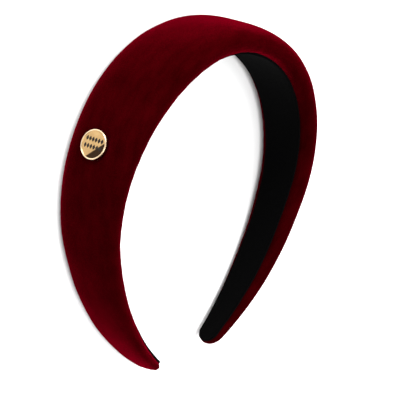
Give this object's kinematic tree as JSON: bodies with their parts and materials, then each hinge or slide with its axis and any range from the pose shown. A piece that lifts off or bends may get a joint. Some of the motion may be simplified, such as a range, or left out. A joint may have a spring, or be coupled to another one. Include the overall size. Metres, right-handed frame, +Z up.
{
  "type": "padded velvet headband",
  "caption": "Wide padded velvet headband that tapers to round tips, with a dark lining and a small round metal badge on one side.",
  "frame": {"origin": "middle of the underside of the bounding box, on the surface that the headband lies on", "axes": "+Y from the tips to the crown, +X from the badge's side to the other side, +Z up, out of the front edge"},
  "size_m": [0.1548, 0.1694, 0.0391],
  "materials": {
    "velvet": "wine-red short-pile velvet, dark head-on and brighter at grazing angles",
    "lining_flannel": "black matt brushed flannel",
    "gilt_metal": "polished pale gold plating"
  },
  "bodies": {
    "root": {"padded_band": "velvet", "lining": "lining_flannel", "badge": "gilt_metal"}
  },
  "joints": []
}
